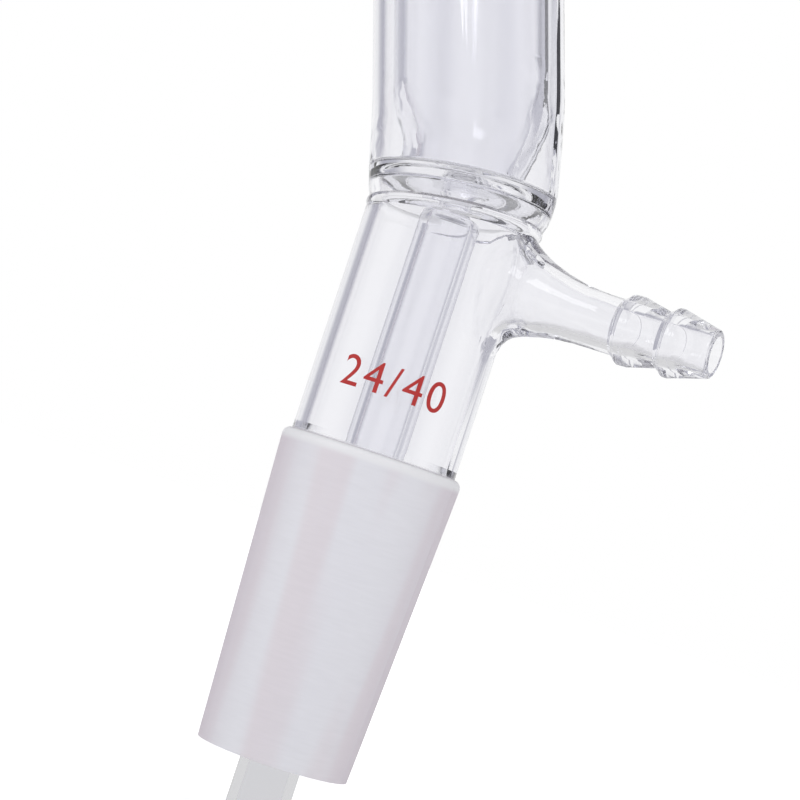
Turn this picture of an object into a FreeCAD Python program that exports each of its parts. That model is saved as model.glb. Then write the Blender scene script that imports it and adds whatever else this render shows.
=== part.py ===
"""Short path distillation head, one piece of lampworked borosilicate glass.

The frame stands on the column: origin on its axis at the wide end of the flask
joint, +Z up the column, +X towards the take-off. Sizes are millimetres and degrees.
A vapour tube leaves the column level and bends down through a water jacket. A flat
plate closes the foot of that tube, and a drip tube runs from it through the take-off,
whose side barb draws vacuum from the space round the drip tube.
"""
import FreeCAD
import Part
import Sketcher
import math
import os
from FreeCAD import Placement, Rotation, Vector

SIZES = {
    # ground joints of the flask and the receiver, 1 in 10 on the diameter
    "joint_big": 24.0,
    "joint_small": 20.0,
    "joint_length": 40.0,
    "joint_wall": 1.9,
    "joint_shoulder": 1.0,
    "tube_wall": 1.5,
    # column, its dome and the thermometer socket on top
    "arm_height": 105.0,
    "dome_rise": 12.0,
    "neck_od": 12.0,
    "neck_length": 7.0,
    "neck_round": 1.6,
    "socket_big": 10.0,
    "socket_small": 8.2,
    "socket_length": 18.0,
    "socket_wall": 2.0,
    # vapour tube: level arm, bend and condenser
    "vapour_od": 20.2,
    "vapour_wall": 1.3,
    "vapour_shift": 0.4,
    "arm_bend": 22.0,
    "tee_round": 2.0,
    "lean_angle": 19.3,
    "takeoff_reach": 95.0,
    "rim_drop": 44.0,
    "bend_height": 40.0,
    # water jacket and its two hose barbs
    "jacket_gap": 1.0,
    "jacket_wall": 1.4,
    "jacket_clear": 8.0,
    "coolant_low": 34.0,
    "coolant_inset": 15.0,
    # foot of the condenser: blended shell, seam bead, closing plate
    "seam_drop": 7.0,
    "seam_tilt": 6.4,
    "seam_flare": 0.3,
    "seam_shift": 0.4,
    "bead_round": 1.05,
    "waist_drop": 3.3,
    "waist_shift": 0.75,
    "waist_slim": 0.3,
    "hip_rise": 2.1,
    "hip_shift": 0.38,
    "hip_slim": 0.06,
    "ease_rise": 8.6,
    "straight_rise": 13.0,
    "middle_tilt": 15.4,
    "plate_drop": 2.3,
    "plate_thickness": 1.5,
    "plate_shift": 0.8,
    "foot_od": 16.1,
    "shoulder_od": 19.8,
    "shoulder_rise": 5.6,
    "shoulder_shift": 0.55,
    "shoulder_tilt": 14.5,
    "calf_od": 18.5,
    "calf_rise": 3.5,
    "calf_shift": 0.35,
    "calf_tilt": 10.5,
    "ankle_od": 17.1,
    "ankle_rise": 1.5,
    "ankle_shift": -0.15,
    "ankle_tilt": 8.0,
    "corner_round": 0.5,
    # drip tube and its throat under the plate
    "drip_od": 8.0,
    "drip_wall": 1.25,
    "drip_reach": 8.0,
    "throat_bore": 2.8,
    "throat_wall": 0.85,
    "throat_drop": 0.9,
    "throat_round": 0.5,
    "funnel_od": 7.6,
    # hose barbs
    "vacuum_drop": 14.6,
    "barb_neck": 7.3,
    "barb_bore": 4.8,
    "barb_stand": 16.3,
    "root_height": 13.2,
    "root_width": 10.0,
    "root_wall": 2.1,
    "root_lift": 1.1,
    "root_gap": 1.2,
    "root_round": 1.2,
    "ridge_one": 9.1,
    "ridge_two": 8.9,
    "ridge_land": 1.4,
    "ridge_back": 1.0,
    "ridge_round": 0.5,
    "ridge_pitch": 6.1,
    "tip_length": 5.9,
    "tip_od": 6.4,
    # how far a cutting solid runs past the glass that it opens
    "past": 1.0,
}

RIGHT_ANGLE = 90
FULL_TURN = 360
# nearer than this, a point lies on a surface
TOUCH = 0.005
# where along an edge it is tested
SPOTS = (0.1, 0.5, 0.9)

doc = FreeCAD.newDocument("distillation_head")
sheet = doc.addObject("Spreadsheet::Sheet", "Sizes")
for row, (alias, value) in enumerate(SIZES.items(), start=1):
    sheet.set(f"A{row}", str(value))
    sheet.setAlias(f"A{row}", alias)
doc.recompute()


def cells(text):
    """Turn {alias} into a reference to the sheet."""
    return text.replace("{", "Sizes.").replace("}", "")


# radii and places that several pieces share
BIG = "({joint_big}/2)"
SMALL = "({joint_small}/2)"
TUBE = "({joint_big}/2-{joint_shoulder})"
TUBE_IN = f"({TUBE}-{{tube_wall}})"
NECK = "({neck_od}/2)"
NECK_IN = "({neck_od}/2-{tube_wall})"
SOCKET = "({socket_big}/2+{socket_wall})"
VAPOUR = "({vapour_od}/2)"
VAPOUR_IN = "({vapour_od}/2-{vapour_wall})"
JACKET_IN = f"({VAPOUR}+{{jacket_gap}})"
JACKET = f"({JACKET_IN}+{{jacket_wall}})"
BEND_Z = "({bend_height}-{rim_drop})"
DOME_Z = "({arm_height}+{dome_rise})"
NECK_Z = f"({DOME_Z}+{TUBE}-{NECK})"
SOCKET_Z = f"({NECK_Z}+{{neck_length}})"
TOP_Z = f"({SOCKET_Z}+{{socket_wall}}+{{socket_length}})"
# distances up the condenser from where its axis meets the take-off's
CROSS = f"(({{arm_height}}-{BEND_Z})/cos({{lean_angle}}))"
BEND_END = f"({CROSS}-{{arm_bend}}*tan(({RIGHT_ANGLE}-{{lean_angle}})/2))"
ARM_END = (f"({{takeoff_reach}}+{{vapour_shift}}/cos({{lean_angle}})-{CROSS}*sin({{lean_angle}})"
           f"-{{arm_bend}}*tan(({RIGHT_ANGLE}-{{lean_angle}})/2))")
JACKET_TOP = f"({BEND_END}-{{jacket_clear}})"


def number(text):
    """Value of an expression as the sheet stands."""
    value = sheet.evalExpression(cells(text))
    return float(getattr(value, "Value", value))


def bind(thing, path, text):
    """Tie one property of an object to the sheet."""
    thing.setExpression(path, cells(text))


def place(thing, x="0", z="0", axis=Vector(0, 1, 0), angle="0"):
    """Put a thing in the plane of the two axes, turned about a level axis."""
    thing.Placement = Placement(Vector(number(x), 0, number(z)), Rotation(axis, number(angle)))
    bind(thing, "Placement.Base.x", x)
    bind(thing, "Placement.Base.z", z)
    bind(thing, "Placement.Rotation.Angle", f"({angle}) * 1 deg")
    return thing


TO_COLUMN = Vector(0, -1, 0)
FROM_COLUMN = Vector(0, 1, 0)


def on_takeoff(thing):
    """The take-off's own frame: origin at the wide end of its joint, Z up."""
    return place(thing, "{takeoff_reach}", "-{rim_drop}")


def on_condenser(thing):
    """The condenser's own frame: origin where the two axes cross, Z up the jacket."""
    return place(thing, "{takeoff_reach}", BEND_Z, TO_COLUMN, "{lean_angle}")


def arc_between(start, end, radius, left):
    """Arc of less than half a turn, with its centre left or right of the way."""
    chord = end - start
    lift = math.sqrt(max(radius ** 2 - chord.Length ** 2 / 4, 0))
    side = Vector(-chord.y, chord.x, 0).normalize() * (lift if left else -lift)
    centre = start + chord * 0.5 + side
    first, last = (start, end) if left else (end, start)
    turns = [math.atan2(p.y - centre.y, p.x - centre.x) for p in (first, last)]
    return Part.ArcOfCircle(Part.Circle(centre, Vector(0, 0, 1), radius), *turns)


def turned(name, corners):
    """Solid of revolution about local Z from corners (radius, height).

    A corner with a third entry is reached by an arc of that radius. A fourth entry,
    True, puts the arc's centre on the left of the way there, for a convex edge.
    """
    sketch = doc.addObject("Sketcher::SketchObject", f"{name}_profile")
    sketch.Placement = Placement(Vector(), Rotation(Vector(1, 0, 0), RIGHT_ANGLE))
    points = [Vector(number(c[0]), number(c[1]), 0) for c in corners]
    ends = []
    for i, corner in enumerate(corners):
        start, end = points[i - 1], points[i]
        if len(corner) > 2:
            left = corner[3]
            geometry = arc_between(start, end, number(corner[2]), left)
            ends.append((1, 2) if left else (2, 1))
        else:
            geometry = Part.LineSegment(start, end)
            ends.append((1, 2))
        sketch.addGeometry(geometry, False)

    def hold(kind, *where, text, label):
        index = sketch.addConstraint(Sketcher.Constraint(kind, *where, number(text)))
        sketch.renameConstraint(index, label)
        bind(sketch, f"Constraints.{label}", text)

    for i, corner in enumerate(corners):
        following = (i + 1) % len(corners)
        sketch.addConstraint(Sketcher.Constraint("Coincident", i, ends[i][1], following, ends[following][0]))
        hold("DistanceX", -1, 1, i, ends[i][1], text=corner[0], label=f"radius_{i}")
        hold("DistanceY", -1, 1, i, ends[i][1], text=corner[1], label=f"height_{i}")
        if len(corner) > 2:
            hold("Radius", i, text=corner[2], label=f"round_{i}")
    solid = doc.addObject("Part::Revolution", name)
    solid.Source = sketch
    solid.Axis = Vector(0, 0, 1)
    solid.Base = Vector()
    solid.Angle = FULL_TURN
    solid.Solid = True
    return solid


def hoop(name, radius, x="0", z="0", axis=FROM_COLUMN, angle="0"):
    """Circle that a loft runs through."""
    circle = doc.addObject("Part::Circle", name)
    bind(circle, "Radius", radius)
    return place(circle, x, z, axis, angle)


def oval(name, height, width, lift, out):
    """Ellipse across a barb, longer along the tube that carries it."""
    ellipse = doc.addObject("Part::Ellipse", name)
    ellipse.MajorRadius = number(height)
    ellipse.MinorRadius = number(width)
    bind(ellipse, "MajorRadius", height)
    bind(ellipse, "MinorRadius", width)
    return place(ellipse, f"-({lift})", out)


def lofted(name, sections):
    solid = doc.addObject("Part::Loft", name)
    solid.Sections = sections
    solid.Solid = True
    solid.Ruled = False
    return solid


def rod(name, radius, length):
    solid = doc.addObject("Part::Cylinder", name)
    bind(solid, "Radius", radius)
    bind(solid, "Height", length)
    return solid


def joined(name, solids):
    union = doc.addObject("Part::MultiFuse", name)
    union.Shapes = solids
    return union


def less(name, base, tool):
    rest = doc.addObject("Part::Cut", name)
    rest.Base = base
    rest.Tool = tool
    return rest


def rounded(name, base, radius, wanted):
    """Base with a round on each edge of which wanted, given the edge and points on it, is true."""
    doc.recompute()
    edges = []
    for index, edge in enumerate(base.Shape.Edges, start=1):
        reach = edge.LastParameter - edge.FirstParameter
        spots = [edge.valueAt(edge.FirstParameter + reach * share) for share in SPOTS]
        if wanted(edge, spots):
            edges.append((index, number(radius), number(radius)))
    fillet = doc.addObject("Part::Fillet", name)
    fillet.Base = base
    fillet.Edges = edges
    return fillet


def up_takeoff(height, aside="0"):
    """Place on the take-off's axis, height above its rim and aside from the column."""
    return f"({{takeoff_reach}}+{aside})", f"({height}-{{rim_drop}})"


def up_condenser(distance, aside="0"):
    """Place on the condenser's axis, distance above the crossing of the axes."""
    x = f"({{takeoff_reach}}-{distance}*sin({{lean_angle}})+{aside}*cos({{lean_angle}}))"
    z = f"({BEND_Z}+{distance}*cos({{lean_angle}})+{aside}*sin({{lean_angle}}))"
    return x, z


# Column with the flask joint below and the thermometer socket above.
SHOULDER = f"(({BIG}-{TUBE})^2+{{joint_shoulder}}^2)/(2*({BIG}-{TUBE}))"


def column_outside():
    dome = f"({TUBE}-{NECK}-{{neck_round}})"
    return turned("column_outside", [
        ("0", "-{joint_length}"),
        (SMALL, "-{joint_length}"),
        (BIG, "0"),
        (TUBE, "{joint_shoulder}", SHOULDER, True),
        (TUBE, DOME_Z),
        (f"{NECK}+{{neck_round}}", f"{DOME_Z}+{dome}", dome, True),
        (NECK, NECK_Z, "{neck_round}", False),
        (NECK, SOCKET_Z),
        (SOCKET, f"{SOCKET_Z}+{{socket_wall}}"),
        (SOCKET, f"{TOP_Z}-{{ridge_round}}"),
        (f"{SOCKET}-{{ridge_round}}", TOP_Z, "{ridge_round}", True),
        ("0", TOP_Z),
    ])


def column_inside():
    round_in = "({neck_round}+{tube_wall})"
    dome = f"({TUBE_IN}-{NECK_IN}-{round_in})"
    return turned("column_inside", [
        ("0", "-{joint_length}-{past}"),
        (f"{SMALL}-{{joint_wall}}", "-{joint_length}-{past}"),
        (f"{SMALL}-{{joint_wall}}", "-{joint_length}"),
        (f"{BIG}-{{joint_wall}}", "0"),
        (TUBE_IN, "2*{joint_shoulder}"),
        (TUBE_IN, DOME_Z),
        (f"{NECK_IN}+{round_in}", f"{DOME_Z}+{dome}", dome, True),
        (NECK_IN, f"{DOME_Z}+{dome}+{round_in}", round_in, False),
        (NECK_IN, SOCKET_Z),
        ("{socket_small}/2", f"{TOP_Z}-{{socket_length}}"),
        ("{socket_big}/2", TOP_Z),
        ("{socket_big}/2", f"{TOP_Z}+{{past}}"),
        ("0", f"{TOP_Z}+{{past}}"),
    ])


def column_radius(side):
    return number(TUBE if side == "outside" else TUBE_IN)


# Vapour tube: arm, bend and condenser, drawn once outside and once inside.
def vapour_tube(side, radius):
    arm = rod(f"arm_{side}", radius, ARM_END)
    place(arm, "0", "{arm_height}", FROM_COLUMN, str(RIGHT_ANGLE))
    bend = doc.addObject("Part::Torus", f"bend_{side}")
    bind(bend, "Radius1", "{arm_bend}")
    bind(bend, "Radius2", radius)
    bind(bend, "Angle3", f"{RIGHT_ANGLE}-{{lean_angle}}")
    bend.Placement.Rotation = Rotation(Vector(0, 0, 1), Vector(1, 0, 0), Vector(0, 1, 0), "XYZ")
    bind(bend, "Placement.Base.x", ARM_END)
    bind(bend, "Placement.Base.z", "{arm_height}-{arm_bend}")
    run = rod(f"run_{side}", radius, f"{BEND_END}-{{vapour_shift}}*tan({{lean_angle}})-{{straight_rise}}")
    x, z = up_condenser("{straight_rise}", "{vapour_shift}")
    place(run, x, z, TO_COLUMN, "{lean_angle}")
    return [arm, bend, run]


PLATE_TOP = "({bend_height}-{plate_drop})"
STILL_STRAIGHT = "(({ease_rise}+{straight_rise})/2)"
SEAM = "({bend_height}-{seam_drop})"
TAKEOFF_TOP = f"({SEAM}+{{hip_rise}})"


def foot(side, trim, floor):
    """Lower end of the vapour tube: a shoulder, then drawn in and turned to stand on the plate."""
    straight = f"{VAPOUR}-{trim}"
    hoops = [
        hoop(f"foot_{side}_{place}", straight, *up_condenser(rise, "{vapour_shift}"), TO_COLUMN, "{lean_angle}")
        for place, rise in (("top", "{straight_rise}"), ("run", STILL_STRAIGHT), ("ease", "{ease_rise}"))
    ]
    for part in ("shoulder", "calf", "ankle"):
        hoops.append(hoop(f"foot_{side}_{part}", f"{{{part}_od}}/2-{trim}",
                          *up_condenser(f"{{{part}_rise}}", f"{{{part}_shift}}"), TO_COLUMN, f"{{{part}_tilt}}"))
    hoops.append(hoop(f"foot_{side}_end", f"{{foot_od}}/2-{trim}",
                      *up_takeoff(f"{PLATE_TOP}-{floor}", "-{plate_shift}"), TO_COLUMN, "{seam_tilt}"))
    return lofted(f"foot_{side}", hoops)


def tee(side, column, arm, radius):
    """Column and arm run together, with the corner between them blended."""
    def corner(edge, spots):
        return all(spot.x > 0 and abs(math.hypot(spot.x, spot.y) - column_radius(side)) < TOUCH
                   and abs(math.hypot(spot.y, spot.z - number("{arm_height}")) - arm.Radius.Value) < TOUCH
                   for spot in spots)
    return rounded(f"tee_round_{side}", joined(f"tee_{side}", [column, arm]), radius, corner)


def rooted(side, tube, root):
    """Take-off and the root of its barb run together, with the corner between them blended."""
    def corner(edge, spots):
        heights = [spot.z for spot in spots]
        return max(heights) - min(heights) > number("{root_wall}") and all(
            number("{past}") < abs(spot.y) < number("{root_width}")
            and abs(math.hypot(spot.x - number("{takeoff_reach}"), spot.y) - column_radius(side)) < TOUCH
            for spot in spots)
    return rounded(f"root_round_{side}", joined(f"rooted_{side}", [tube, root]), "{root_round}", corner)


# Outer shell between the seam and the straight jacket.
def blend(side, trim):
    hoops = [
        hoop(f"blend_{side}_1", f"{TUBE}+{{seam_flare}}-{trim}",
             *up_takeoff(SEAM, "{seam_shift}"), TO_COLUMN, "{seam_tilt}"),
        hoop(f"blend_{side}_2", f"{JACKET}-{{waist_slim}}-{trim}",
             *up_condenser("-{waist_drop}", "-{waist_shift}"), TO_COLUMN, "{middle_tilt}"),
        hoop(f"blend_{side}_3", f"{JACKET}-{{hip_slim}}-{trim}",
             *up_condenser("{hip_rise}", "-{hip_shift}"), TO_COLUMN, "{lean_angle}"),
        hoop(f"blend_{side}_4", f"{JACKET}-{trim}", *up_condenser("{ease_rise}"), TO_COLUMN, "{lean_angle}"),
        hoop(f"blend_{side}_5", f"{JACKET}-{trim}", *up_condenser(STILL_STRAIGHT), TO_COLUMN, "{lean_angle}"),
        hoop(f"blend_{side}_6", f"{JACKET}-{trim}", *up_condenser("{straight_rise}"), TO_COLUMN, "{lean_angle}"),
    ]
    return lofted(f"blend_{side}", hoops)


def jacket(side, radius, top):
    """Straight part of the jacket, drawn in to the vapour tube at its top."""
    end = f"({VAPOUR}-{{vapour_wall}}/2)"
    solid = turned(f"jacket_{side}", [
        ("0", "{straight_rise}"),
        (radius, "{straight_rise}"),
        (radius, f"{top}-({radius}-{end})"),
        (end, top, f"{radius}-{end}", True),
        ("0", top),
    ])
    return on_condenser(solid)


# Take-off: receiver joint and tube.
def takeoff(side, trim_joint, trim_tube, past):
    corners = [
        ("0", f"-{{joint_length}}-{past}"),
        (f"{SMALL}-{trim_joint}", f"-{{joint_length}}-{past}"),
        (f"{SMALL}-{trim_joint}", "-{joint_length}"),
        (f"{BIG}-{trim_joint}", "0"),
        (f"{TUBE}-{trim_tube}", "2*{joint_shoulder}"),
        (f"{TUBE}-{trim_tube}", TAKEOFF_TOP),
        ("0", TAKEOFF_TOP),
    ]
    if side == "outside":
        del corners[1]
        corners[3] = (TUBE, "{joint_shoulder}", SHOULDER, True)
    return on_takeoff(turned(f"takeoff_{side}", corners))


# Drip tube with its throat, from the plate to below the joint.
DRIP = "({drip_od}/2)"
THROAT = "({throat_bore}/2+{throat_wall})"
DRIP_END = "(-{joint_length}-{drip_reach})"
DRIP_TOP = f"({SEAM}-{{throat_drop}})"
BORE = "({throat_bore}/2)"
DOME = f"({DRIP}-{THROAT}-{{throat_round}})"
DOME_IN = f"({DRIP}-{{drip_wall}}-{BORE})"
PLATE_FOOT = f"({PLATE_TOP}-{{plate_thickness}})"
# how far the tilted plate climbs over half the funnel's width
CLIMB = "({funnel_od}/2*tan({seam_tilt}))"


def drip_outside():
    flare = f"({{funnel_od}}/2-{THROAT})"
    return on_takeoff(turned("drip_outside", [
        ("0", DRIP_END),
        (f"{DRIP}-{{drip_wall}}/3", DRIP_END),
        (DRIP, f"{DRIP_END}+{{drip_wall}}/3", "{drip_wall}/3", True),
        (DRIP, DRIP_TOP),
        (f"{THROAT}+{{throat_round}}", f"{DRIP_TOP}+{DOME}", DOME, True),
        (THROAT, f"{DRIP_TOP}+{DOME}+{{throat_round}}", "{throat_round}", False),
        (THROAT, f"{PLATE_FOOT}+{CLIMB}-{flare}"),
        ("{funnel_od}/2", f"{PLATE_FOOT}+{CLIMB}", flare, False),
        ("{funnel_od}/2", f"{PLATE_TOP}-{{plate_thickness}}/2"),
        ("0", f"{PLATE_TOP}-{{plate_thickness}}/2"),
    ]))


def drip_inside():
    trumpet = f"({{funnel_od}}/2-{BORE})"
    return on_takeoff(turned("drip_inside", [
        ("0", f"{DRIP_END}-{{past}}"),
        (f"{DRIP}-{{drip_wall}}", f"{DRIP_END}-{{past}}"),
        (f"{DRIP}-{{drip_wall}}", DRIP_TOP),
        (BORE, f"{DRIP_TOP}+{DOME_IN}", DOME_IN, True),
        (BORE, f"{PLATE_TOP}+{CLIMB}-{trumpet}"),
        ("{funnel_od}/2", f"{PLATE_TOP}+{CLIMB}", trumpet, False),
        ("{funnel_od}/2", f"{PLATE_TOP}+{{plate_thickness}}"),
        ("0", f"{PLATE_TOP}+{{plate_thickness}}"),
    ]))


def plate():
    disc = rod("plate", JACKET, "{plate_thickness}")
    x, z = up_takeoff(f"{PLATE_TOP}-{{plate_thickness}}*cos({{seam_tilt}})",
                      "(-{plate_shift}+{plate_thickness}*sin({seam_tilt}))")
    return place(disc, x, z, TO_COLUMN, "{seam_tilt}")


def on_plate(edge, spots):
    """True for the long rings that lie in the plate's upper or lower face."""
    disc = doc.getObject("plate")
    along = disc.Placement.Rotation.multVec(Vector(0, 0, 1))
    return edge.Length > number("2*{foot_od}") and any(
        all(abs((spot - disc.Placement.Base).dot(along) - level) < TOUCH for spot in spots)
        for level in (0, disc.Height.Value))


def bead():
    """Thick ring where the tube was sealed to the shell."""
    ring = doc.addObject("Part::Torus", "bead")
    bind(ring, "Radius1", f"{TUBE}+{{seam_flare}}-{{tube_wall}}/2")
    bind(ring, "Radius2", "{bead_round}")
    return place(ring, *up_takeoff(SEAM, "{seam_shift}"), TO_COLUMN, "{seam_tilt}")


# Hose barbs: a flared root that thins to the neck, and two ridges.
# Where the root's sections stand, as shares of the way from the tube to the ridges.
ROOT_SECTIONS = (-0.3, -0.2, 0, 0.2, 0.4, 0.6, 0.8, 1)


def flare(name, side, wall, host):
    """Root of a barb, swelling into the tube of radius host that carries it."""
    neck = f"({{barb_neck}}/2-{wall[1]})"
    sections = []
    for index, share in enumerate(ROOT_SECTIONS):
        swell = f"{(1 - share) ** 3:.4f}"
        rise = f"{(1 - share) ** 1.5:.4f}"
        sections.append(oval(
            f"{name}_{side}_{index}",
            height=f"({neck}+({{root_height}}/2-{wall[0]}-{neck})*{swell})",
            width=f"({neck}+({{root_width}}/2-{wall[0]}-{neck})*{swell})",
            lift=f"{{root_lift}}*{rise}",
            out=f"({host}+{{root_gap}}+({{barb_stand}}-{{root_gap}}-{{ridge_back}})*{share})"))
    return lofted(f"{name}_flare_{side}", sections)


def ridges(name, host):
    one = f"({host}+{{barb_stand}})"
    two = f"({one}+{{ridge_pitch}})"
    tip = f"({two}+{{tip_length}})"
    neck = "({barb_neck}/2)"
    crest_one = "({ridge_one}/2)"
    crest_two = "({ridge_two}/2)"
    edge = "{ridge_round}"
    return turned(f"{name}_ridges", [
        ("0", f"{one}-{{ridge_back}}"),
        (neck, f"{one}-{{ridge_back}}"),
        (f"{crest_one}-{edge}*0.6", f"{one}-{edge}*0.4"),
        (crest_one, f"{one}+{edge}*0.6", edge, True),
        (crest_one, f"{one}+{{ridge_land}}"),
        (neck, f"{two}-{{ridge_back}}"),
        (f"{crest_two}-{edge}*0.6", f"{two}-{edge}*0.4"),
        (crest_two, f"{two}+{edge}*0.6", edge, True),
        (crest_two, f"{two}+{{ridge_land}}/2"),
        ("{tip_od}/2", f"{tip}-{edge}"),
        (f"{{tip_od}}/2-{edge}", tip, edge, True),
        ("0", tip),
    ])


def barb(name, host, set_place):
    """Outer solid and bore of one barb, both in the same place."""
    outer = [flare(name, "outside", ("0", "0"), host), ridges(name, host)]
    thin = "({barb_neck}/2-{barb_bore}/2)"
    start = f"({host}+{{barb_stand}}-{{ridge_back}})"
    bore = rod(f"{name}_bore", "{barb_bore}/2", f"{{ridge_pitch}}+{{tip_length}}+{{ridge_back}}+{{past}}")
    hollow = [flare(name, "inside", ("{root_wall}", thin), host), bore]
    for solid in outer + hollow[:1]:
        set_place(solid, "0")
    set_place(bore, start)
    return outer, hollow


def vacuum_place(solid, out):
    x, z = up_takeoff("({bend_height}-{vacuum_drop})", out)
    return place(solid, x, z, FROM_COLUMN, str(RIGHT_ANGLE))


def coolant_place(distance):
    def set_place(solid, out):
        return place(solid, *up_condenser(distance, out), FROM_COLUMN, f"{RIGHT_ANGLE}-{{lean_angle}}")
    return set_place


def build():
    vacuum_outer, vacuum_hollow = barb("vacuum", TUBE, vacuum_place)
    low_outer, low_hollow = barb("coolant_in", JACKET, coolant_place("{coolant_low}"))
    high_outer, high_hollow = barb("coolant_out", JACKET,
                                   coolant_place(f"({JACKET_TOP}-{{coolant_inset}})"))
    drip = drip_outside()
    ring = bead()
    tube = vapour_tube("outside", VAPOUR)
    foot_solid = foot("outside", "0", "{plate_thickness}/2")

    body = joined("body", [
        tee("outside", column_outside(), tube[0], "{tee_round}"), tube[1], tube[2], foot_solid,
        jacket("outside", JACKET, JACKET_TOP), blend("outside", "0"),
        rooted("outside", takeoff("outside", "0", "0", "0"), vacuum_outer[0]),
        drip, ring, vacuum_outer[1], *low_outer, *high_outer,
    ])
    core = joined("core", [tube[1], tube[2], foot_solid, plate(), drip, ring])
    rooms = joined("rooms", [
        jacket("inside", JACKET_IN, f"({JACKET_TOP}-{{jacket_wall}})"), blend("inside", "{jacket_wall}"),
        rooted("inside", takeoff("inside", "{joint_wall}", "{tube_wall}", "{past}"), vacuum_hollow[0]),
        vacuum_hollow[1], *low_hollow, *high_hollow,
    ])
    spaces = rounded("spaces_rounded", less("spaces", rooms, core), "{corner_round}", on_plate)
    bore = vapour_tube("inside", VAPOUR_IN)
    vessel_floor = rounded("vessel_floor", foot("inside", "{vapour_wall}", "0"), "{corner_round}", on_plate)
    way = joined("way", [tee("inside", column_inside(), bore[0], "{tee_round}+{tube_wall}"),
                         bore[1], bore[2], vessel_floor, drip_inside()])
    shell = less("shell", body, spaces)
    head = less("head", shell, way)
    head.Label = "distillation_head"
    return head


def check(objects):
    for thing in objects:
        if "Invalid" in thing.State or "Error" in thing.State:
            raise RuntimeError(f"{thing.Name} failed: {thing.State}")


def main():
    head = build()
    doc.recompute()
    check(doc.Objects)
    shape = head.Shape
    if shape.isNull() or not shape.isValid():
        raise RuntimeError("the head's shape is not valid")
    os.makedirs("parts", exist_ok=True)
    shape.exportStep(f"parts/{head.Label}.step")
    print(head.Label, "solids", len(shape.Solids), "volume", round(shape.Volume, 1), shape.BoundBox)


main()
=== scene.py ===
"""Looks of the short path distillation head: one piece of clear borosilicate glass."""
import math

import bmesh
import bpy
import numpy as np
from mathutils import Matrix, Vector


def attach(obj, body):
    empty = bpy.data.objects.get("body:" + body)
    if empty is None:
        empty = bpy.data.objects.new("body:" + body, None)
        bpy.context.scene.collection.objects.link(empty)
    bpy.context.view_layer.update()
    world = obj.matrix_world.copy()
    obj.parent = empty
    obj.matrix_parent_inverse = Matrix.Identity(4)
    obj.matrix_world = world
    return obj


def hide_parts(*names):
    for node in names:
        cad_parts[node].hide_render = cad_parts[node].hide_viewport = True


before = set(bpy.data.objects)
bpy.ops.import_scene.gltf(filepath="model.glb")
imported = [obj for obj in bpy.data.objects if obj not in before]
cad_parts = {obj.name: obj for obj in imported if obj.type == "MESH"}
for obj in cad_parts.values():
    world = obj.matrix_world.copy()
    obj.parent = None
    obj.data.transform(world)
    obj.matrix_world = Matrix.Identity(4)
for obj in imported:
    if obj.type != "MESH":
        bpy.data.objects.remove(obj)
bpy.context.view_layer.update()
scene = bpy.context.scene
scene.view_settings.view_transform = "Standard"

MM = 0.001

# Glass sizes that the looks share with the solids, in millimetres.
TAKEOFF_X = 95.0
RIM_Z = -44.0
JOINT_LENGTH = 40.0
JOINT_BIG_RADIUS = 12.0
JOINT_TAPER = 0.05
TUBE_RADIUS = 11.0
TOP_Z = 149.0
SOCKET_LENGTH = 18.0
SOCKET_RADIUS = 5.4

# Where the photograph was taken from: degrees, millimetres and pixels.
CAMERA_AZIMUTH = 23.0
CAMERA_ELEVATION = -2.7
CAMERA_ROLL = 18.35
CAMERA_TARGET = (96.165, 0.0, -35.37)
CAMERA_DISTANCE = 328.85
FOCAL_PIXELS = 2560
FRAME_PIXELS = 800
SENSOR_WIDTH = 36.0

# How often light may turn in the glass before it is given up.
GLASS_BOUNCES = 40

# Light tent: how many bright panels stand round the object.
TENT_PANELS = 4.0

# Floor under the drip tube: height and half width, its glow to the camera, and how dim the glass
# sees it within the first distance. It is full white beyond the second. Millimetres.
FLOOR_Z = -92.5
FLOOR_HALF = 3000.0
FLOOR_GLOW = 0.35
FLOOR_DIM = 0.72
FLOOR_DIM_TO = 120.0
FLOOR_WHITE_FROM = 450.0

# The red size mark: middle above the row's origin, turn from straight in front, letter spacing.
MARK_UP = -34.3
MARK_TURN = 21.5
MARK_HEIGHT = 4.15
MARK_SPACING = 1.13
MARK_CUTS = 3
INK_THICKNESS = 0.03
DIGIT_TO_SIZE = 0.73

# Roots of the barbs: middle on the tube's axis (x, z), lean of the tube in degrees, its outer and
# inner radius, and how far up the tube the soft corner may reach.
BARB_ROOTS = (
    (95.0, -17.4, 0.0, 11.0, 9.5, 6.8),
    (83.37, 29.22, 19.3, 12.5, 11.1, 30.0),
    (69.19, 69.70, 19.3, 12.5, 11.1, 30.0),
)
ROOT_HALF_WIDTH = 5.0
ROOT_HALF_HEIGHT = 7.0

# The soft corner ends this many half sizes from the middle and this far out on the barb, and it
# fades over these lengths on the tube, along the barb and below the top of its room.
ROOT_REACH = 1.55
ROOT_FADE = 0.4
ROOT_OUT = 5.0
ROOT_OUT_FADE = 3.5
ROOT_TOP_FADE = 1.5
ROOT_INSIDE = 0.3

# Longest edge there, rounds of cutting and smoothing, and how deep a facet may lie in the wall.
ROOT_EDGE_LENGTH = 0.7
ROOT_CUTS = 7
ROOT_SMOOTHING = 45
ROOT_NORMALS = 4
EDGE_SAMPLES = 9
FACET_DEPTH = 0.08
SAME_POINT = 1e-7

# Foot of the vapour tube: where its axis meets the take-off's, its lean, how far it stands aside
# of that axis, where the plate's top is and how it tilts, and how much the wall thickens there.
FOOT_AXIS = (95.0, -4.0, 19.3)
FOOT_ASIDE = 0.4
PLATE_TOP = (95.0, -6.3, 6.4)
FOOT_THICKER = 1.0

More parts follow.
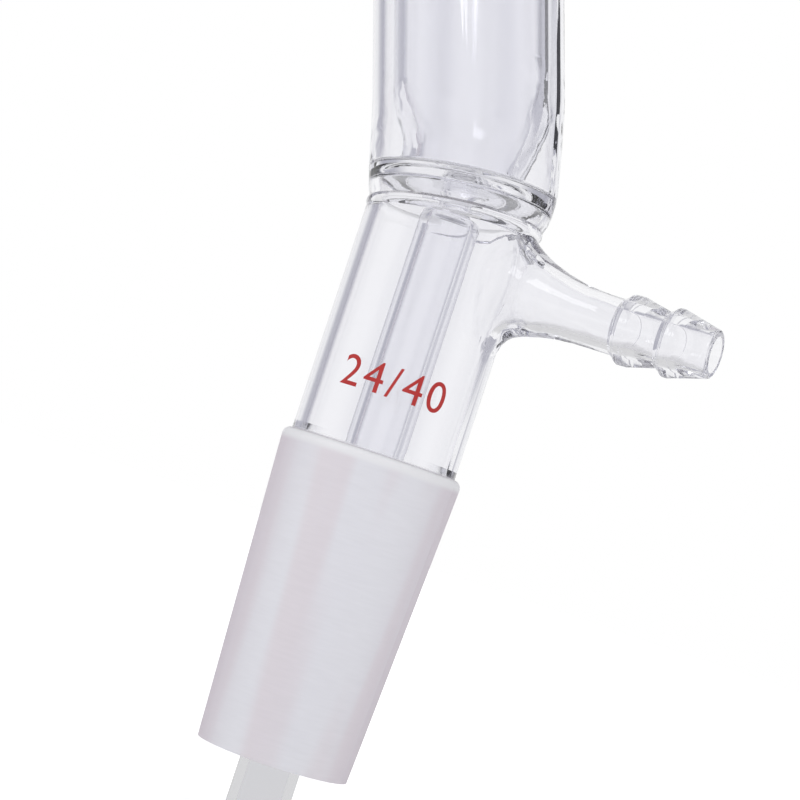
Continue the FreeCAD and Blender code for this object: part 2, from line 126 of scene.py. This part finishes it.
# Radii round the foot's inner wall, its top, heights over the plate between which the thickening
# sets in, and heights up the tube between which it ends.
FOOT_RADII = (5.0, 9.6)
FOOT_TOP = 12.0
FOOT_SETS_IN = (0.5, 2.2)
FOOT_ENDS = (5.5, 10.5)
FACES_INWARD = 0.3

# Ground joints: half the depth round the cone's wall that counts as ground, how far past the
# small end, the heights between which it fades on the shoulder, and the heights of the painted
# highlight on the rim.
GROUND_DEPTH = 1.1
GROUND_PAST_END = 0.2
GROUND_FADE = (0.7, 1.3)
RIM_HIGHLIGHT_HEIGHTS = (-0.8, 0.1)

# Width of the ground faces' bands and rings. The grit's rings are 0.1 mm apart, drawn wider so
# that they show.
BAND_WIDTH = 5.0
RING_WIDTH = 0.4

# Glass: roughness clear and ground, light that a ground face lets in, and how fast it dims.
CLEAR_ROUGH = 0.004
GROUND_ROUGH = 0.6
GROUND_LETS_IN = 0.22
GLASS_IOR = 1.474
GLASS_DIMMING = 22.0


def linear(code):
    """sRGB hex to a linear colour with alpha."""
    channels = [int(code[i:i + 2], 16) / 255 for i in (1, 3, 5)]
    return [c / 12.92 if c <= 0.04045 else ((c + 0.055) / 1.055) ** 2.4 for c in channels] + [1.0]


def add(tree, kind, inputs=None, **settings):
    """Add one node with its settings, and set or link its inputs."""
    made = tree.nodes.new(kind)
    for name, value in settings.items():
        setattr(made, name, value)
    for name, value in (inputs or {}).items():
        if isinstance(value, bpy.types.NodeSocket):
            tree.links.new(value, made.inputs[name])
        else:
            made.inputs[name].default_value = value
    return made


def maths(tree, operation, *values, clamp=False):
    """Result of one sum on numbers."""
    return add(tree, "ShaderNodeMath", dict(enumerate(values)), operation=operation,
               use_clamp=clamp).outputs[0]


def vectors(tree, operation, one, other):
    """Result of one sum on vectors."""
    return add(tree, "ShaderNodeVectorMath", {0: one, 1: other}, operation=operation).outputs[0]


def mixed(tree, factor, one, other):
    """Colour that goes from one to the other."""
    return add(tree, "ShaderNodeMix", {"Factor": factor, "A": one, "B": other},
               data_type="RGBA").outputs["Result"]


def ranged(tree, value, low, high, start=0.0, end=1.0, soft=False):
    """Number that goes from start to end while the value goes from low to high."""
    return add(tree, "ShaderNodeMapRange",
               {"Value": value, "From Min": low, "From Max": high, "To Min": start, "To Max": end},
               interpolation_type="SMOOTHSTEP" if soft else "LINEAR").outputs[0]


def from_axis(tree, place):
    """Distance of a place from the upright axis, and its height."""
    split = add(tree, "ShaderNodeSeparateXYZ", {0: place})
    squares = [maths(tree, "MULTIPLY", split.outputs[side], split.outputs[side]) for side in "XY"]
    return maths(tree, "SQRT", maths(tree, "ADD", *squares)), split.outputs["Z"]


def object_place(tree):
    return add(tree, "ShaderNodeTexCoord").outputs["Object"]


def blank_material(name):
    material = bpy.data.materials.new(name)
    material.use_nodes = True
    material.node_tree.nodes.clear()
    return material, material.node_tree


def placed(name, data):
    """Object with this data, in the scene."""
    thing = bpy.data.objects.new(name, data)
    scene.collection.objects.link(thing)
    return thing


def place_camera():
    az, el, roll = (math.radians(a) for a in (CAMERA_AZIMUTH, CAMERA_ELEVATION, CAMERA_ROLL))
    back = Vector((math.sin(az) * math.cos(el), -math.cos(az) * math.cos(el), math.sin(el)))
    level = Vector((math.cos(az), math.sin(az), 0))
    upright = back.cross(level)
    right = level * math.cos(roll) + upright * math.sin(roll)
    up = upright * math.cos(roll) - level * math.sin(roll)
    camera = placed("camera", bpy.data.cameras.new("camera"))
    place = (Vector(CAMERA_TARGET) + back * CAMERA_DISTANCE) * MM
    turned = Matrix((right, up, back)).transposed().to_4x4()
    camera.matrix_world = Matrix.Translation(place) @ turned
    camera.data.sensor_width = SENSOR_WIDTH
    camera.data.lens = FOCAL_PIXELS / FRAME_PIXELS * SENSOR_WIDTH
    camera.data.clip_start = 0.01
    camera.data.clip_end = 10
    scene.camera = camera


def long_paths():
    """Let light turn often in the glass: paths cut short leave it black where the wall is thick."""
    for limit in ("max_bounces", "transmission_bounces", "glossy_bounces"):
        setattr(scene.cycles, limit, GLASS_BOUNCES)


def light_tent():
    """White panels round the object with grey gaps between them, and pure white to the camera."""
    world = bpy.data.worlds.new("light_tent")
    scene.world = world
    world.use_nodes = True
    tree = world.node_tree
    tree.nodes.clear()
    direction = add(tree, "ShaderNodeTexCoord")
    split = add(tree, "ShaderNodeSeparateXYZ", {0: direction.outputs["Generated"]})
    turn = maths(tree, "ARCTAN2", split.outputs["Y"], split.outputs["X"])
    start = math.radians(-TENT_PANELS * (CAMERA_AZIMUTH + 90))
    wave = maths(tree, "COSINE", maths(tree, "MULTIPLY_ADD", turn, TENT_PANELS, start))
    panels = ranged(tree, wave, -1.0, 0.0, soft=True)
    tent = mixed(tree, panels, linear("#B6B6C0"), linear("#FFFFFF"))
    path = add(tree, "ShaderNodeLightPath")
    soft = mixed(tree, path.outputs["Is Diffuse Ray"], tent, linear("#F4F4F6"))
    seen = mixed(tree, path.outputs["Is Camera Ray"], soft, linear("#FFFFFF"))
    background = add(tree, "ShaderNodeBackground", {"Color": seen, "Strength": 1.0})
    add(tree, "ShaderNodeOutputWorld", {"Surface": background.outputs[0]})


def white_paper():
    """Matt white photo paper, rolled flat: even white to the camera, dimmer in the glass near it."""
    material, tree = blank_material("white_floor_paper")
    path = add(tree, "ShaderNodeLightPath")
    glow = maths(tree, "MULTIPLY", path.outputs["Is Camera Ray"], FLOOR_GLOW)
    paper = add(tree, "ShaderNodeBsdfPrincipled",
                {"Base Color": linear("#F4F4F4"), "Roughness": 0.9,
                 "Emission Color": linear("#FFFFFF"), "Emission Strength": glow})
    off = add(tree, "ShaderNodeVectorMath",
              {0: object_place(tree), 1: (TAKEOFF_X * MM, 0, FLOOR_Z * MM)}, operation="DISTANCE")
    level = ranged(tree, off.outputs["Value"], FLOOR_DIM_TO * MM, FLOOR_WHITE_FROM * MM,
                   FLOOR_DIM, 1.0, soft=True)
    backdrop = add(tree, "ShaderNodeEmission", {"Color": linear("#FFFFFF"), "Strength": level})
    through = maths(tree, "MAXIMUM", path.outputs["Is Glossy Ray"],
                    path.outputs["Is Transmission Ray"])
    both = add(tree, "ShaderNodeMixShader",
               {0: through, 1: paper.outputs[0], 2: backdrop.outputs[0]})
    add(tree, "ShaderNodeOutputMaterial", {"Surface": both.outputs[0]})
    return material


def white_floor(paper):
    """Floor under the drip tube."""
    mesh = bpy.data.meshes.new("floor")
    corners = [(x * FLOOR_HALF * MM, y * FLOOR_HALF * MM, FLOOR_Z * MM)
               for x, y in ((-1, -1), (1, -1), (1, 1), (-1, 1))]
    mesh.from_pydata(corners, [], [(0, 1, 2, 3)])
    mesh.materials.append(paper)
    placed("floor", mesh)


def lamp(name, place, aim, width, height, radiance):
    """Soft area lamp in millimetres, as bright as radiance times the white backdrop."""
    light = bpy.data.lights.new(name, "AREA")
    light.shape = "RECTANGLE"
    light.size, light.size_y = width * MM, height * MM
    light.energy = radiance * math.pi * light.size * light.size_y
    thing = placed(name, light)
    place, aim = Vector(place) * MM, Vector(aim) * MM
    thing.location = place
    thing.rotation_mode = "QUATERNION"
    thing.rotation_quaternion = (aim - place).to_track_quat("-Z", "Y")


def seen_from(points, origin):
    """Points in metres as millimetres away from a leaning tube's axis, across it and up it."""
    x, y, z = (points / MM).T
    lean = math.radians(origin[2])
    x, z = x - origin[0], z - origin[1]
    away = x * math.cos(lean) + z * math.sin(lean)
    return away, y, z * math.cos(lean) - x * math.sin(lean)


def eased(share):
    return share * share * (3 - 2 * share)


def smooth_between(low, high, value):
    """0 below low, 1 above high, and a soft step between them."""
    return eased(np.clip((value - low) / (high - low), 0, 1))


def at_roots(points):
    """How fully each point takes part in the soft corner round a barb's root."""
    shares = []
    for root in BARB_ROOTS:
        towards, across, up = seen_from(points, root)
        radius, inner, room = root[3:]
        out = np.hypot(towards, across)
        around = np.hypot(across / ROOT_HALF_WIDTH, up / ROOT_HALF_HEIGHT)
        share = (np.clip((ROOT_REACH - around) / ROOT_FADE, 0, 1)
                 * np.clip((radius + ROOT_OUT - out) / ROOT_OUT_FADE, 0, 1)
                 * np.clip((room - up) / ROOT_TOP_FADE, 0, 1))
        share[(out < inner - ROOT_INSIDE) | (towards < 0)] = 0
        shares.append(eased(share))
    return np.max(shares, axis=0)


def on_tubes(points, share):
    """Points with those that lie on the facets of a tube at a root moved out to its round wall."""
    for root in BARB_ROOTS:
        towards, across, up = seen_from(points, root)
        lean = math.radians(root[2])
        out = np.hypot(towards, across)
        for radius in root[3:5]:
            near = ((share > 0) & (abs(out - radius) < FACET_DEPTH)
                    & (abs(up) < 2 * ROOT_HALF_HEIGHT))
            grow = (radius / out[near] - 1) * MM
            points[near, 0] += grow * towards[near] * math.cos(lean)
            points[near, 1] += grow * across[near]
            points[near, 2] += grow * towards[near] * math.sin(lean)
    return points


def thickened_foot(points, normals):
    """Points with the vapour tube's inner wall moved in at its foot, where sealing gathers glass."""
    towards, across, up = seen_from(points, FOOT_AXIS)
    above_plate = seen_from(points, PLATE_TOP)[2]
    lean = math.radians(FOOT_AXIS[2])
    aside = towards - FOOT_ASIDE
    out = np.hypot(aside, across)
    outward = ((normals[:, 0] * math.cos(lean) + normals[:, 2] * math.sin(lean)) * aside
               + normals[:, 1] * across)
    inner_wall = ((out > FOOT_RADII[0]) & (out < FOOT_RADII[1]) & (outward < -FACES_INWARD * out)
                  & (above_plate > 0) & (up < FOOT_TOP))
    share = (smooth_between(*FOOT_SETS_IN, above_plate) * (1 - smooth_between(*FOOT_ENDS, up))
             * inner_wall)
    return points + normals * (FOOT_THICKER * MM * share)[:, None]


def rows(items, name, width, kind=np.float32):
    """One value of all items of a mesh, as rows."""
    values = np.empty(len(items) * width, dtype=kind)
    items.foreach_get(name, values)
    return values.reshape(-1, width)


def cut_at_roots(mesh):
    """Split the long edges round the barbs' roots, so that the wall can bend there."""
    work = bmesh.new()
    work.from_mesh(mesh)
    bmesh.ops.remove_doubles(work, verts=work.verts, dist=SAME_POINT)
    for _ in range(ROOT_CUTS):
        ends = np.array([[v.co for v in edge.verts] for edge in work.edges])
        length = np.linalg.norm(ends[:, 1] - ends[:, 0], axis=1)
        share = np.max([at_roots(ends[:, 0] * (1 - t) + ends[:, 1] * t)
                        for t in np.linspace(0, 1, EDGE_SAMPLES)], axis=0)
        too_long = (share > 0) & (length > ROOT_EDGE_LENGTH * MM)
        edges = [edge for edge, cut in zip(work.edges, too_long) if cut]
        if not edges:
            break
        bmesh.ops.subdivide_edges(work, edges=edges, cuts=1)
        bmesh.ops.triangulate(work, faces=[face for face in work.faces if len(face.verts) > 3])
    work.to_mesh(mesh)
    work.free()


def melt_roots(mesh):
    """Thicken the foot and smooth the barbs' roots. Returns how fully each point was smoothed."""
    points = rows(mesh.vertices, "co", 3, np.float64)
    points = thickened_foot(points, rows(mesh.vertex_normals, "vector", 3))
    share = at_roots(points)
    points = on_tubes(points, share)
    ends = rows(mesh.edges, "vertices", 2, np.int32)
    one, other = ends.T
    count = np.bincount(ends.ravel(), minlength=len(points))[:, None]
    for _ in range(ROOT_SMOOTHING):
        total = np.zeros_like(points)
        np.add.at(total, one, points[other])
        np.add.at(total, other, points[one])
        points += 0.5 * share[:, None] * (total / count - points)
    mesh.vertices.foreach_set("co", points.ravel())
    mesh.update()
    return share


def blend_normals(mesh, share):
    """Normals of the new shape at the roots, and the solid's own elsewhere."""
    corners = rows(mesh.loops, "vertex_index", 1, np.int32)[:, 0]
    shaped = rows(mesh.vertex_normals, "vector", 3)
    drawn = rows(mesh.attributes["drawn_normal"].data, "vector", 3)
    blend = np.clip(share * ROOT_NORMALS, 0, 1)[corners][:, None]
    normals = drawn * (1 - blend) + shaped[corners] * blend
    normals /= np.linalg.norm(normals, axis=1)[:, None]
    mesh.attributes.remove(mesh.attributes["drawn_normal"])
    mesh.normals_split_custom_set(normals.tolist())


def softened_head(cad, material):
    """The head with the roots of its barbs melted into their tubes in soft curves."""
    mesh = cad.data.copy()
    mesh.name = "clear_head"
    drawn = rows(mesh.corner_normals, "vector", 3).ravel()
    mesh.attributes.new("drawn_normal", "FLOAT_VECTOR", "CORNER").data.foreach_set("vector", drawn)
    cut_at_roots(mesh)
    blend_normals(mesh, melt_roots(mesh))
    mesh.materials.clear()
    mesh.materials.append(material)
    piece = placed("clear_head", mesh)
    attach(piece, "root")
    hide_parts("distillation_head")


def cone_mask(tree, place, x, rim):
    """1 on the ground cone of a joint whose rim is at (x, rim), and 1 on its rounded rim, where a
    highlight is painted.
    """
    out, up = from_axis(tree, vectors(tree, "SUBTRACT", place, (x * MM, 0, rim * MM)))
    wall = maths(tree, "SUBTRACT", out, maths(tree, "MULTIPLY", up, JOINT_TAPER))
    outer = maths(tree, "COMPARE", wall, JOINT_BIG_RADIUS * MM, GROUND_DEPTH * MM)
    below = ranged(tree, up, GROUND_FADE[0] * MM, GROUND_FADE[1] * MM, 1.0, 0.0)
    above = maths(tree, "GREATER_THAN", up, -(JOINT_LENGTH + GROUND_PAST_END) * MM)
    cone = maths(tree, "MULTIPLY", maths(tree, "MULTIPLY", outer, below), above)
    # band on the rounded rim where a highlight is painted
    highlight_band = ranged(tree, up, RIM_HIGHLIGHT_HEIGHTS[0] * MM, RIM_HIGHLIGHT_HEIGHTS[1] * MM, soft=True)
    return cone, maths(tree, "MULTIPLY", highlight_band, cone)


def socket_mask(tree, place):
    """1 on the ground inner wall of the thermometer socket."""
    out, up = from_axis(tree, place)
    inner = maths(tree, "LESS_THAN", out, SOCKET_RADIUS * MM)
    high = maths(tree, "GREATER_THAN", up, (TOP_Z - SOCKET_LENGTH) * MM)
    low = maths(tree, "LESS_THAN", up, (TOP_Z - GROUND_PAST_END) * MM)
    return maths(tree, "MULTIPLY", maths(tree, "MULTIPLY", inner, high), low)


def ground_colour(tree, place, facing, painted_rim_highlight):
    """Colour of a ground face: pale bands along it, fine rings round it, painted shade on its sides
    where it turns away from view, and a painted highlight on its rim.
    """
    along = vectors(tree, "MULTIPLY", place, (1.0, 1.0, 0.06))
    bands = add(tree, "ShaderNodeTexNoise",
                {"Vector": along, "Scale": 1 / (BAND_WIDTH * MM), "Detail": 1.0}).outputs["Fac"]
    around = vectors(tree, "MULTIPLY", place, (0.12, 0.12, 1.0))
    rings = add(tree, "ShaderNodeTexNoise",
                {"Vector": around, "Scale": 1 / (RING_WIDTH * MM), "Detail": 4.0}).outputs["Fac"]
    banded = ranged(tree, bands, 0.38, 0.62, soft=True)
    dusty = mixed(tree, banded, linear("#E8E2E7"), linear("#ECECF1"))
    ringed = ranged(tree, rings, 0.3, 0.7, 0.97, 1.0)
    face = add(tree, "ShaderNodeVectorMath", {0: dusty, "Scale": ringed},
               operation="SCALE").outputs[0]
    # painted shade: the ground cone's sides, where it turns away from view, are drawn darker
    side = ranged(tree, facing, 0.12, 0.6, soft=True)
    painted_side_shade = mixed(tree, side, face, linear("#E0D8DF"))
    # painted highlight: the rounded rim is drawn near white
    return mixed(tree, painted_rim_highlight, painted_side_shade, linear("#F4F4F6"))


def borosilicate_glass():
    """Borosilicate glass, drawn as tube and blown in the lamp, its joints ground with grit.

    It is clear, with painted shade that greys the edges where the wall is seen end on, and satin
    white where it is ground, with painted shade on the ground sides and a painted highlight on the
    rims.
    """
    material, tree = blank_material("borosilicate_glass")
    place = object_place(tree)
    flask_cone, flask_rim_highlight = cone_mask(tree, place, 0, 0)
    receiver_cone, receiver_rim_highlight = cone_mask(tree, place, TAKEOFF_X, RIM_Z)
    cones = maths(tree, "ADD", flask_cone, receiver_cone)
    ground = maths(tree, "ADD", cones, socket_mask(tree, place), clamp=True)
    painted_rim_highlight = maths(tree, "ADD", flask_rim_highlight, receiver_rim_highlight, clamp=True)
    facing = add(tree, "ShaderNodeLayerWeight", {"Blend": 0.35}).outputs["Facing"]
    # painted shade: the clear glass is coloured greyer towards its edges, where it turns away from
    # view
    edge = ranged(tree, facing, 0.55, 1.0)
    clear = mixed(tree, edge, linear("#F9F9FB"), linear("#B2B2C0"))
    colour = mixed(tree, ground, clear, ground_colour(tree, place, facing, painted_rim_highlight))
    rough = ranged(tree, ground, 0.0, 1.0, CLEAR_ROUGH, GROUND_ROUGH)
    # from within the glass a ground face lets light out, from outside it scatters most of it
    inside = add(tree, "ShaderNodeNewGeometry").outputs["Backfacing"]
    outside = maths(tree, "SUBTRACT", 1.0, inside)
    through = ranged(tree, maths(tree, "MULTIPLY", ground, outside), 0.0, 1.0, 1.0, GROUND_LETS_IN)
    glass = add(tree, "ShaderNodeBsdfPrincipled",
                {"Base Color": colour, "Roughness": rough, "IOR": GLASS_IOR,
                 "Transmission Weight": through})
    volume = add(tree, "ShaderNodeVolumeAbsorption",
                 {"Color": linear("#DEDEE4"), "Density": GLASS_DIMMING})
    add(tree, "ShaderNodeOutputMaterial",
        {"Surface": glass.outputs[0], "Volume": volume.outputs[0]})
    return material


def red_ink():
    """Red ceramic ink, screened on the tube and fired: opaque, mottled, with a low gloss."""
    material, tree = blank_material("fired_red_ceramic_ink")
    mottle = add(tree, "ShaderNodeTexNoise",
                 {"Vector": object_place(tree), "Scale": 1 / (0.25 * MM), "Detail": 3.0})
    colour = mixed(tree, mottle.outputs["Fac"], linear("#A81E1C"), linear("#C02A26"))
    ink = add(tree, "ShaderNodeBsdfPrincipled", {"Base Color": colour, "Roughness": 0.35})
    add(tree, "ShaderNodeOutputMaterial", {"Surface": ink.outputs[0]})
    return material


def size_mark(ink):
    """Plain joint size in red, wrapped round the front of the take-off tube."""
    tree = bpy.data.node_groups.new("size_mark", "GeometryNodeTree")
    values = {"Height": MARK_HEIGHT * MM, "Tube Radius": TUBE_RADIUS * MM,
              "Thickness": INK_THICKNESS * MM, "Up Tube": MARK_UP * MM,
              "Turn": math.radians(MARK_TURN)}
    for name in values:
        tree.interface.new_socket(name, in_out="INPUT", socket_type="NodeSocketFloat")
    tree.interface.new_socket("Geometry", in_out="OUTPUT", socket_type="NodeSocketGeometry")
    sizes = add(tree, "NodeGroupInput").outputs
    text = add(tree, "GeometryNodeStringToCurves",
               {"String": "24/40", "Size": maths(tree, "DIVIDE", sizes["Height"], DIGIT_TO_SIZE),
                "Character Spacing": MARK_SPACING}, align_x="CENTER", align_y="MIDDLE")
    line = add(tree, "GeometryNodeRealizeInstances", {"Geometry": text.outputs["Curve Instances"]})
    flat = add(tree, "GeometryNodeFillCurve", {"Curve": line.outputs[0]}, mode="TRIANGLES")
    fine = add(tree, "GeometryNodeSubdivideMesh", {"Mesh": flat.outputs[0], "Level": MARK_CUTS})
    thick = add(tree, "GeometryNodeExtrudeMesh",
                {"Mesh": fine.outputs[0], "Offset Scale": sizes["Thickness"],
                 "Individual": False}, mode="FACES")
    position = add(tree, "GeometryNodeInputPosition").outputs[0]
    place = add(tree, "ShaderNodeSeparateXYZ", {0: position}).outputs
    angle = maths(tree, "DIVIDE", place["X"], sizes["Tube Radius"])
    turned = maths(tree, "ADD", angle, sizes["Turn"])
    out = maths(tree, "ADD", sizes["Tube Radius"], place["Z"])
    x = maths(tree, "MULTIPLY_ADD", out, maths(tree, "SINE", turned), TAKEOFF_X * MM)
    y = maths(tree, "MULTIPLY", maths(tree, "MULTIPLY", out, maths(tree, "COSINE", turned)), -1.0)
    z = maths(tree, "ADD", place["Y"], sizes["Up Tube"])
    wrapped = add(tree, "ShaderNodeCombineXYZ", {"X": x, "Y": y, "Z": z})
    bent = add(tree, "GeometryNodeSetPosition",
               {"Geometry": thick.outputs["Mesh"], "Position": wrapped.outputs[0]})
    real = add(tree, "GeometryNodeRealizeInstances", {"Geometry": bent.outputs[0]})
    inked = add(tree, "GeometryNodeSetMaterial", {"Geometry": real.outputs[0], "Material": ink})
    add(tree, "NodeGroupOutput", {"Geometry": inked.outputs[0]})
    grown("size_mark", tree, values, ink)


def grown(name, tree, values, material):
    """Plain mesh of what a geometry tree makes with these inputs, riding on the head."""
    source = placed(name + "_source", bpy.data.meshes.new(name + "_source"))
    modifier = source.modifiers.new("tree", "NODES")
    modifier.node_group = tree
    for socket in tree.interface.items_tree:
        if socket.in_out == "INPUT":
            modifier[socket.identifier] = values[socket.name]
    evaluated = source.evaluated_get(bpy.context.evaluated_depsgraph_get())
    mesh = bpy.data.meshes.new_from_object(evaluated)
    bpy.data.objects.remove(source)
    mesh.name = name
    if not mesh.materials:
        mesh.materials.append(material)
    piece = placed(name, mesh)
    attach(piece, "root")


place_camera()
long_paths()
light_tent()
white_floor(white_paper())
lamp("window", place=(60, -420, 260), aim=(95, 0, -20), width=170, height=170, radiance=3)

glass = borosilicate_glass()
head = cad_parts["distillation_head"]
head.data.materials[0] = glass
softened_head(head, glass)
size_mark(red_ink())
